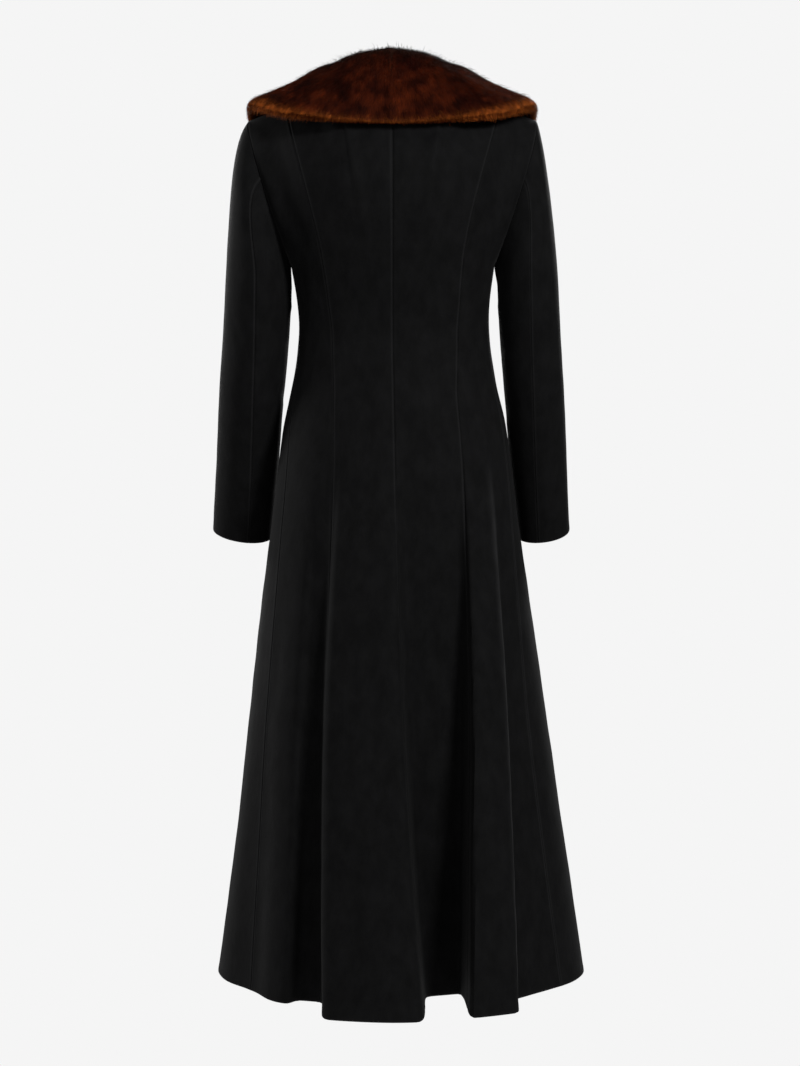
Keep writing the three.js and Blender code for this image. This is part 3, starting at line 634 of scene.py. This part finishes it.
def armhole(side, turn):
    """The body's armhole edge at turns of the sleeve: 0 at the shoulder tip, 90 behind, 180 underneath."""
    point, normal, away = np.empty((3, *np.shape(turn), 3))
    for front in (False, True):
        here = turn > 180 if front else turn <= 180
        t = np.clip((360 - turn[here] if front else turn[here]) / 180, 0.001, 1)
        s = np.full(t.shape, 2.0)
        s_in = np.full(t.shape, 2.05 if front else 1.95)
        panel_edge = s + (1e-9 if front else -1e-9)
        edge = yoke(side, panel_edge, t, front)
        facing = yoke_normal(side, panel_edge, t, front)
        along = yoke(side, panel_edge, np.clip(t + 0.01, 0, 1), front)
        along = along - yoke(side, panel_edge, np.clip(t - 0.01, 0, 1), front)
        out = unit(np.cross(along, facing))
        inward = yoke(side, s_in, t, front) - edge
        out = np.where((out * inward).sum(axis=-1, keepdims=True) > 0, -out, out)
        point[here], normal[here], away[here] = edge, facing, out
    return point, normal, away


def arm(side, turn, z):
    """The outside of the sleeve below its head."""
    angle, lean = np.radians(turn), np.radians(follow(SLEEVE, "forward", z))
    slimmer, outward_shift = (RIGHT_SLEEVE_NARROWER, RIGHT_SLEEVE_OUTWARD) if side == RIGHT else (0, 0)
    outward = (follow(SLEEVE, "across", z) - slimmer) * np.cos(angle)
    back = follow(SLEEVE, "deep", z) * np.sin(angle)
    x = side * (follow(SLEEVE, "x", z) + outward + outward_shift)
    y = follow(SLEEVE, "y", z) + back * np.cos(lean)
    rise = outward * np.tan(np.radians(follow(SLEEVE, "slant", z)))
    return np.stack([x, y, z - back * np.sin(lean) + rise], axis=-1)


def sleeve_surface(side, turn, v):
    """v runs from the armhole (0) to the end of the sleeve head (1) and on to the cuff (2)."""
    turn, v = np.broadcast_arrays(turn % 360, np.asarray(v, float))
    point, normal, away = armhole(side, turn)
    pull = np.stack([follow(CAP_START, axis, turn) for axis in "xyz"], axis=-1)
    pull = pull * (side * (1 + CAP_UNEVEN * side), 1, 1)
    over = (normal * pull).sum(axis=-1) / np.linalg.norm(pull, axis=-1)
    bend = smooth(over, -0.1, 0.15)[..., None]
    start = point + unit(away + normal * 1.5 * bend) * SEAM_GAP
    first = np.full(turn.shape, float(SLEEVE_TOP))
    end, step = arm(side, turn, first), 4
    end_pull = (arm(side, turn, first - step) - end) * follow(CAP_START, "pull", turn)[..., None] / step
    head = hermite(start, pull, end, end_pull, np.clip(v, 0, 1)[..., None])
    below = arm(side, turn, SLEEVE_TOP + (CUFF - SLEEVE_TOP) * np.clip(v - 1, 0, None))
    return np.where(v[..., None] <= 1, head, below)


HEAD_ROWS = np.concatenate([[0, 0.006, 0.015, 0.025, 0.04, 0.065, 0.1], np.linspace(0.14, 1, 16)])
SLEEVE_ROWS = np.concatenate([HEAD_ROWS, np.linspace(1, 2, 42)[1:-1], [1.99, 1.995, 1.998]])


def sleeve_piece(name, side, upper, middle, creases):
    """One piece of a sleeve between its two seams, from the armhole to the cuff."""
    rows = SLEEVE_ROWS
    z = np.where(rows <= 1, SLEEVE_TOP, SLEEVE_TOP + (CUFF - SLEEVE_TOP) * (rows - 1))
    starts, ends = (follow(SLEEVE, seam, z) for seam in ("back_seam", "front_seam"))
    if upper:
        starts, ends = ends - 360, starts
    girth = np.radians(ends - starts) * SLEEVE_RADIUS
    across = np.array([spread_stations(g, middle) / g for g in girth])
    turns = starts[:, None] + (ends - starts)[:, None] * across
    v = rows[:, None] + 0 * turns
    grid = sleeve_surface(side, turns, v)
    around = sleeve_surface(side, turns + 1, v) - sleeve_surface(side, turns - 1, v)
    down = sleeve_surface(side, turns, v + 0.01) - sleeve_surface(side, turns, np.clip(v - 0.01, 0, None))
    normals = unit(np.cross(around, down)) * -side
    near, far = across * girth[:, None], (1 - across) * girth[:, None]
    from_top, from_cuff = v * HEAD_LENGTH, (2 - v) * (SLEEVE_TOP - CUFF)
    relief = seam_relief(near) + seam_relief(far) + seam_relief(from_top) + edge_relief(from_cuff)
    relief += crease_relief(grid, across, creases) * smooth(np.minimum(near, far), 0, 10)
    relief += loft(grid, 11) * smooth(np.minimum(near, far), 0, 20)
    # Painted highlights: along the upper piece's far seam and along the cuff.
    painted_highlight = painted_seam_highlight(far) * upper + painted_edge_highlight(from_cuff)
    outside, inside = grid + normals * relief[..., None], grid - normals * WALL
    edge, facing, away = armhole(side, turns[0] % 360)
    tucked = edge - away * SLEEVE_TUCK
    outside = np.concatenate([(tucked - facing * 0.4 * WALL)[None], outside])
    inside = np.concatenate([(tucked - facing * 0.8 * WALL)[None], inside])
    painted_highlight = np.concatenate([painted_highlight[:1], painted_highlight])
    sew(name, outside, inside, painted_highlight, flip=side == RIGHT)


UPPER_CREASES = {
    LEFT: [
        (0.72, -330, 0.95, -395, -1.5, 9),
        (0.7, -420, 0.95, -470, -1.2, 8),
        (0.1, -380, 0.35, -430, -1.6, 9),
    ],
    RIGHT: [
        (0.7, -350, 0.95, -410, -1.6, 9),
        (0.75, -440, 0.97, -500, -1.2, 8),
        (0.08, -370, 0.3, -430, -1.6, 9),
    ],
}
UNDER_CREASES = {
    LEFT: [
        (0.1, -345, 0.6, -385, -1.6, 8),
        (0.2, -430, 0.75, -460, -1.4, 8),
        (0.3, -300, 0.8, -330, 1.2, 9),
    ],
    RIGHT: [
        (0.1, -355, 0.65, -400, -1.6, 8),
        (0.15, -450, 0.7, -485, -1.4, 8),
        (0.3, -300, 0.8, -335, 1.2, 9),
    ],
}
for side, word in SIDES:
    sleeve_piece(f"sleeve_upper_{word}", side, True, 34, UPPER_CREASES[side])
    sleeve_piece(f"sleeve_under_{word}", side, False, 24, UNDER_CREASES[side])


# Collar
# A wide shawl collar from the neckline to the break point: a wool under collar, and over it a dressed pelt
# with dense brown fur that lies from the neck towards the outer edge, where its tips turn rust.
COLLAR = rows_of(
    "at roll_x roll_y roll_z fall_x fall_y fall_z edge_x edge_y edge_z pile",
    (0, 0, 72, 31, 0, 101, -22, 0, 99, -70, 16),
    (0.15, 47, 60, 25, 62, 92, -22, 74, 100, -68, 16),
    (0.26, 76, 32, 15, 112, 56, -14, 150, 80, -60, 16),
    (0.36, 87, -4, 16, 143, 2, -11, 211, 2, -36, 15),
    (0.48, 82, -50, -28, 136, -58, -42, 201, -56, -76, 15),
    (0.64, 62, -103, -106, 110, -104, -120, 166, -84, -144, 14),
    (0.78, 41, -127, -187, 76, -127, -199, 114, -110, -217, 13),
    (0.9, 23, -130, -255, 43, -129, -264, 64, -120, -277, 11),
    (1, 12, -116.5, -319, 20, -116, -325, 28, -113, -332, 8),
)
COLLAR_SHOULDER, COLLAR_END, COLLAR_TO_UNDERARM = 0.36, -318, 0.8
COLLAR_GAP, COLLAR_SET_BACK, COLLAR_SHIFT = 0.9, 0.2, 2
UNDER_COLLAR, PELT, PELT_GAP = 2.0, 1.6, 0.3  # thicknesses, and the air between the two


def neck_seam(side, at):
    """The collar's seam: the back neckline, then the front edge down to the break point."""
    line = shoulder_line(side, np.minimum(at, COLLAR_SHOULDER) / COLLAR_SHOULDER * NECK_SHARE)
    outward = unit((line - (0, NECK_SEAM_Y, 0)) * (1, 1, 0))
    neckline = line + outward * COLLAR_SET_BACK + (0, 0, COLLAR_GAP)
    down = (at - COLLAR_SHOULDER) / (1 - COLLAR_SHOULDER)
    t = np.clip(down / COLLAR_TO_UNDERARM, 0, 1)
    edge = np.full(t.shape, 4 - 1e-4)
    yoke_edge = yoke(side, edge, t, True) + yoke_normal(side, edge, t, True) * COLLAR_GAP
    last = np.clip((down - COLLAR_TO_UNDERARM) / (1 - COLLAR_TO_UNDERARM), 0, 1)
    z = UNDERARM + (COLLAR_END - UNDERARM) * last
    end = np.full((1, 1), 1 - 1e-4)
    lift = (WALL + OVERLAP_AIR) * smooth(-z, -UNDERARM, 20 - BREAK_POINT) if side == RIGHT else 0 * z
    skirt_edge = body(z, cloth_angles(side, FRONT_CENTRE, end, z)[:, 0])
    skirt_edge = skirt_edge + skirt_normal(side, FRONT_CENTRE, end, z)[:, 0] * (COLLAR_GAP + lift)[:, None]
    down = down[:, None]
    return np.where(down <= 0, neckline, np.where(down < COLLAR_TO_UNDERARM, yoke_edge, skirt_edge))


def collar_lines(side, at, across):
    """The collar's backing, on lines from the neck seam over the roll and the fall to the outer edge."""
    shift = COLLAR_SHIFT * (1 - at)
    knots = [neck_seam(side, at)]
    for name in ("roll", "fall", "edge"):
        x, y, z = (follow(COLLAR, f"{name}_{axis}", at) for axis in "xyz")
        knots.append(np.stack([side * x + shift, y, z], axis=-1))
    knots = [2 * knots[0] - knots[1], *knots, 2 * knots[3] - knots[2]]
    grid = np.empty((len(at), len(across), 3))
    for i in range(3):
        p0, p1, p2, p3 = knots[i : i + 4]
        chords = (p1 - p0, p2 - p1, p3 - p2)
        d0, d1, d2 = (np.linalg.norm(chord, axis=1, keepdims=True) ** 0.5 for chord in chords)
        pull1 = ((p1 - p0) / d0 - (p2 - p0) / (d0 + d1) + (p2 - p1) / d1) * d1
        pull2 = ((p2 - p1) / d1 - (p3 - p1) / (d1 + d2) + (p3 - p2) / d2) * d1
        here = (across * 3 >= i) & (across * 3 <= i + 1)
        t = (across[here] * 3 - i)[None, :, None]
        grid[:, here] = hermite(p1[:, None], pull1[:, None], p2[:, None], pull2[:, None], t)
    return grid


def collar_normals(side, grid):
    along, over = np.gradient(grid, axis=0), np.gradient(grid, axis=1)
    normals = unit(np.cross(along, over)) * side
    normals[0, :, 0] = 0
    return unit(normals)


def pile_share(across):
    """The fur is full over the fall, thinner on the stand at the neck and rounded over the outer edge."""
    rounded = np.sqrt(1 - np.clip((across - 0.86) / 0.14, 0, 1) ** 2 * 0.72)
    return rounded * (0.3 + 0.7 * smooth(across, 0, 0.34))


def fur_depth(at, across):
    """How deep the pelt and its fur are over the under collar."""
    return follow(COLLAR, "pile", at) * pile_share(across) - UNDER_COLLAR


def pelt_leather():
    """The dressed skin with its dense underfur: dark, matt and uneven."""
    material, nodes, links, shader = plain_finish("fur_ground", 0.9, 0.1)
    place = nodes.new("ShaderNodeTexCoord")
    fluff = speckle(nodes, links, place.outputs["Object"], 260)
    tone = nodes.new("ShaderNodeValToRGB")
    tone.color_ramp.elements[0].color = (0.006, 0.0025, 0.0015, 1)
    tone.color_ramp.elements[1].color = (0.02, 0.008, 0.004, 1)
    links.new(fluff, tone.inputs["Fac"])
    links.new(tone.outputs["Color"], shader.inputs["Base Color"])
    links.new(roughen(nodes, links, fluff, 0.5, 0.001).outputs["Normal"], shader.inputs["Normal"])
    return material


def brown_fur():
    """The longer hair, in the colours that each hair carries from its root to its tip."""
    material, nodes, links, shader = plain_finish("brown_fur", 0.55, 0.03)
    colour = nodes.new("ShaderNodeAttribute")
    colour.attribute_name = "hair"
    place = nodes.new("ShaderNodeTexCoord")
    vary = new_node(nodes, "MapRange", {"To Min": 0.8, "To Max": 1.2})
    links.new(speckle(nodes, links, place.outputs["Object"], 900), vary.inputs["Value"])
    tint = nodes.new("ShaderNodeMix")
    tint.data_type = "RGBA"
    tint.blend_type = "MULTIPLY"
    tint.inputs["Factor"].default_value = 1
    links.new(colour.outputs["Color"], tint.inputs["A"])
    links.new(vary.outputs["Result"], tint.inputs["B"])
    links.new(tint.outputs["Result"], shader.inputs["Base Color"])
    return material


GROUND, FUR = pelt_leather(), brown_fur()
COLLAR_LINES, COLLAR_COLUMNS = 90, 26
HAIRS, QUICK_HAIRS = 57000, 0.35
HAIR_RUN, HAIR_WIDTH = 13, 0.36  # how far a hair reaches along the pelt, and its width at the root
TUFT = 6  # distance between the tufts that the hairs draw into
GUARD_SHARE = 0.05  # share of longer guard hairs
RIM_SHARE, RIM_ROWS = 0.14, 5  # share of the hairs that grow round the outer edge, and where they are rooted
EDGE_FULLNESS = 1.2  # how much denser the hair is at the outer edge
FULL_PILE = 12.4  # depth of pile in which a hair has its full reach
PELT_END = 0.965  # where the pelt is turned under, so that the hair reaches the collar's edge
UNDERFUR = 0.55  # how much of the pile's depth is dense underfur
ROOT = np.array((0.004, 0.001, 0.0005))
DARK = np.array((0.013, 0.002, 0.0008))
BROWN = np.array((0.054, 0.0085, 0.0022))
RUST = np.array((0.5, 0.125, 0.02))
MARKING, CLUMP = 44, 17  # sizes of the dark markings and of the clumps that catch the light


def patches(points, wave, seed):
    """A soft random pattern from 0 to 1 over the pelt."""
    draw = np.random.default_rng(seed)
    value = np.zeros(len(points))
    for scale in (1, 0.55, 0.3):
        for _ in range(5):
            heading = unit(draw.normal(size=3))
            value += scale * np.sin(points @ heading * 2 * np.pi / (wave * scale) + draw.uniform(0, 6.3))
    return 1 / (1 + np.exp(-1.1 * value))


def scatter(side, at_range, count, draw):
    """Random places on the pelt, more of them near its outer edge, with the collar's directions there."""
    at, across = np.linspace(*at_range, 150), np.linspace(0, PELT_END, 90)
    grid = collar_lines(side, at, across)
    step_at, step_across = np.gradient(grid, axis=0), np.gradient(grid, axis=1)
    cells = np.linalg.norm(np.cross(step_at, step_across), axis=-1)[:-1, :-1]
    cells = cells * (1 + EDGE_FULLNESS * smooth(across[:-1], 0.8, 0.97))
    pick = draw.choice(cells.size, size=count, p=cells.ravel() / cells.sum())
    row, column = np.unravel_index(pick, cells.shape)
    u, w = draw.uniform(size=(2, count, 1))
    rim = draw.uniform(size=count) < RIM_SHARE
    column[rim] = cells.shape[1] - 1 - draw.integers(0, RIM_ROWS, rim.sum())

    def blend(values):
        values = np.atleast_3d(values)
        first = values[row, column] * (1 - w) + values[row, column + 1] * w
        return first * (1 - u) + (values[row + 1, column] * (1 - w) + values[row + 1, column + 1] * w) * u

    place, share = (blend(values)[:, 0] for values in np.meshgrid(at, across, indexing="ij"))
    directions = (collar_normals(side, grid), step_across, step_at)
    return place, share, blend(grid), *(unit(blend(values)) for values in directions), rim


def tufts(root):
    """The tuft that each hair belongs to, as a corner and three random shares."""
    corner = np.floor(root / TUFT)
    mixed = np.sin(corner @ np.array([12.99, 78.23, 37.72])) * 43758.5
    return corner, np.stack([mixed, mixed * 1.7, mixed * 2.3], axis=-1) % 1


def ribbons(name, points):
    """One mesh of flat hairs, each a quad and a triangle through its five points."""
    count = len(points)
    base = np.arange(count)[:, None] * 5
    quads, tips = base + (0, 1, 3, 2), base + (2, 3, 4)
    sizes = np.concatenate([np.full(count, 4), np.full(count, 3)])
    corners = np.concatenate([quads.ravel(), tips.ravel()])
    mesh = bpy.data.meshes.new(name)
    mesh.vertices.add(count * 5)
    mesh.vertices.foreach_set("co", (points * 0.001).ravel())
    mesh.loops.add(len(corners))
    mesh.loops.foreach_set("vertex_index", corners)
    mesh.polygons.add(len(sizes))
    mesh.polygons.foreach_set("loop_start", np.concatenate([[0], np.cumsum(sizes)[:-1]]))
    mesh.polygons.foreach_set("loop_total", sizes)
    mesh.polygons.foreach_set("use_smooth", np.ones(len(sizes), bool))
    return mesh


def hair_colours(root, share, at_tip, tuft, draw):
    """Dark at the root, brown in soft markings along the hair, and rust at the collar's outer edge."""
    count = len(root)
    streak = patches(root * (1, 1, 0.95), MARKING, 5)
    own = draw.uniform(0.55, 1.45, count) * (0.6 + 0.8 * tuft[:, 0])
    own = own * (0.68 + 0.64 * patches(root, CLUMP, 9))
    streak = streak * (0.35 + 0.65 * smooth(share, 0.35, 0.7)) + 0.12 * at_tip
    body_tone = DARK + (BROWN - DARK) * np.clip(streak + draw.uniform(-0.25, 0.3, count), 0, 1.4)[:, None]
    rusty = smooth(share + 0.025 * at_tip + draw.uniform(-0.04, 0.04, count), 0.9, 1.0)[:, None]
    lit, shaded = body_tone * 1.5, body_tone * 0.8
    tip_tone, middle_tone = lit + (RUST - lit) * rusty, shaded + (RUST * 0.35 - shaded) * rusty
    colours = np.ones((count, 5, 4), np.float32)
    for i, tone in enumerate((ROOT, ROOT, middle_tone, middle_tone, tip_tone)):
        colours[:, i, :3] = tone * own[:, None]
    return colours


def hairs(name, side, at_range, count, seed):
    """Flat tapered hairs in one mesh, each bent over from the pelt towards the collar's outer edge."""
    draw = np.random.default_rng(seed)
    place, share, root, up, fall, outward, rim = scatter(side, at_range, count, draw)
    pile = fur_depth(place, share)

    # Most hairs stand on the underfur. Those of the rim grow out all round the rolled edge.
    round_edge = np.where(rim, draw.uniform(-0.45, 0.5, count), 0.5)[:, None] * np.pi
    height = np.where(rim, draw.uniform(-0.2, UNDERFUR, count), UNDERFUR - 0.1) * pile + UNDER_COLLAR * ~rim
    root = root + up * height[:, None]
    up = np.where(rim[:, None], unit(fall * np.cos(round_edge) + up * np.sin(round_edge)), up)

    # They lie towards the outer edge, lean over the centre join, and draw together in tufts.
    at_tip = np.exp(-(((place - COLLAR_SHOULDER) / 0.11) ** 2))
    corner, tuft = tufts(root)
    gather = (corner + 0.25 + 0.5 * tuft) * TUFT - root
    gather = gather - up * (gather * up).sum(axis=1, keepdims=True)
    edge = smooth(share, 0.86, 1.0)[:, None]
    lean = 0.12 * smooth(place, 0, 0.1) - 0.22 * smooth(-place, -0.04, 0)
    guard = draw.uniform(size=(count, 1)) < GUARD_SHARE
    sweep = fall + outward * lean[:, None] + unit(draw.normal(size=(count, 3))) * np.where(guard, 0.5, 0.28)
    sweep = unit(sweep - up * (sweep * up).sum(axis=1, keepdims=True))
    lying = 0.55 + 0.45 * smooth(share, 0.3, 0.6)[:, None]
    rise = pile[:, None] * (1 - UNDERFUR) * draw.uniform(0.6, 1.1, (count, 1)) * np.where(guard, 1.6, lying)
    run = HAIR_RUN * np.clip(pile[:, None] / FULL_PILE, 0.35, 1) * draw.uniform(0.6, 1.25, (count, 1))
    run = run * (1 - 0.65 * edge) * lying

    side_axis = unit(np.cross(up, sweep) + up * draw.normal(size=(count, 1)) * 0.3)
    half = HAIR_WIDTH / 2 * draw.uniform(0.7, 1.3, (count, 1)) * side_axis
    middle = root + up * rise * 0.72 + sweep * run * 0.36 + gather * 0.1
    droop = (0, 0, 1) * edge * (1 + 6 * at_tip[:, None])
    tip = root + up * rise + sweep * run + gather * 0.32 - droop
    mesh = ribbons(name, np.stack([root - half, root + half, middle - half, middle + half, tip], axis=1))
    layer = mesh.color_attributes.new("hair", "FLOAT_COLOR", "POINT")
    layer.data.foreach_set("color", hair_colours(root, share, at_tip, tuft, draw).ravel())
    mesh.update()
    mesh.validate()
    mesh.materials.append(FUR)
    piece = place_object(name, mesh)
    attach(piece, "root")
    return piece


def collar_half(side, word):
    at, across = np.linspace(0, 1, COLLAR_LINES), np.linspace(0, PELT_END, COLLAR_COLUMNS)
    grid = collar_lines(side, at, across)
    normals = collar_normals(side, grid)
    # The collar's wool and pelt carry no painted highlight.
    no_painted_highlight, flip = np.zeros(grid.shape[:2]), side == RIGHT
    upper_face = grid + normals * UNDER_COLLAR
    under = cloth_mesh(f"under_collar_{word}", upper_face, grid, no_painted_highlight, WOOL, flip)
    depth = fur_depth(at[:, None], across[None]) * UNDERFUR * (1 - 0.6 * smooth(across, 0.9, 1.0))
    top = grid + normals * (UNDER_COLLAR + np.maximum(depth, PELT))[..., None]
    low = grid + normals * (UNDER_COLLAR + PELT_GAP)
    pelt = cloth_mesh(f"pelt_{word}", top, low, no_painted_highlight, GROUND, flip)
    count = int(HAIRS * (1))
    coats = [
        hairs(f"fur_back_{word}", side, (0.0, COLLAR_SHOULDER), count, 21 + side),
        hairs(f"fur_front_{word}", side, (COLLAR_SHOULDER, 1.0), count, 31 + side),
    ]
    for piece, slot in ((under, "wool"), (pelt, "fur")):
        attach(piece, "root")
    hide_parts(f"fur_collar_{word}")


for side, word in SIDES:
    collar_half(side, word)


# Studio
# A plain pale floor well below the coat, a backdrop of the same brightness, soft square lights all round,
# and the camera behind the coat, as far off as the photo's view needs.
def pale_floor():
    bpy.ops.object.select_all(action="DESELECT")
    bpy.ops.mesh.primitive_circle_add(vertices=128, radius=2.2, fill_type="NGON", location=(0, 0, -2.3))
    floor = bpy.context.object
    floor.name = "floor"
    paint, _, _, shader = plain_finish("pale_floor", 1, 0)
    set_inputs(shader, {"Base Color": (0.08, 0.08, 0.08, 1)})
    set_inputs(shader, {"Emission Color": (1, 1, 1, 1), "Emission Strength": 0.825})
    floor.data.materials.append(paint)


def soft_light(name, place, aim_height, size, watts):
    data = bpy.data.lights.new(name, "AREA")
    data.shape, data.size, data.energy = "SQUARE", size, watts
    lamp = place_object(name, data)
    direction = np.array((0, 0, aim_height)) - place
    lamp.rotation_euler = Vector(direction).to_track_quat("-Z", "Y").to_euler()
    lamp.location = place


pale_floor()
soft_light("key", (-2.1, 3.0, 1.8), -0.6, 0.9, 165)
soft_light("back", (1.2, 3.6, 0.6), -0.6, 2.0, 26)
soft_light("left_strip", (2.5, -0.9, 0.2), -0.4, 0.8, 50)
soft_light("top", (0, 0.6, 3.0), -0.3, 1.2, 20)
soft_light("front_right", (-1.5, -3.4, 1.4), -0.6, 1.4, 190)
soft_light("front_left", (1.9, -3.2, 0.8), -0.6, 1.8, 90)

sky = bpy.data.worlds.new("studio")
sky.use_nodes = True
nodes, links = sky.node_tree.nodes, sky.node_tree.links
backdrop = nodes["Background"]
set_inputs(backdrop, {"Color": (0.913, 0.913, 0.913, 1)})
fill = new_node(nodes, "Background", {"Color": (0.12, 0.12, 0.12, 1)})
seen = nodes.new("ShaderNodeLightPath")
either = nodes.new("ShaderNodeMixShader")
links.new(seen.outputs["Is Camera Ray"], either.inputs[0])
links.new(fill.outputs[0], either.inputs[1])
links.new(backdrop.outputs[0], either.inputs[2])
links.new(either.outputs[0], nodes["World Output"].inputs["Surface"])
bpy.context.scene.world = sky
bpy.context.scene.view_settings.view_transform = "Standard"

CAMERA_DISTANCE, CAMERA_HEIGHT = 3.0, -0.548
FOCAL_PIXELS, PHOTO_HEIGHT = 2055, 1066
CAMERA_TILT, CAMERA_PAN = 1.92, -0.2
view = bpy.data.cameras.new("camera")
view.sensor_fit = "VERTICAL"
view.sensor_height = 36
view.lens = 36 * FOCAL_PIXELS / PHOTO_HEIGHT
camera = place_object("camera", view)
camera.location = (0, CAMERA_DISTANCE, CAMERA_HEIGHT)
camera.rotation_euler = np.radians((90 - CAMERA_TILT, 0, 180 + CAMERA_PAN))
bpy.context.scene.camera = camera
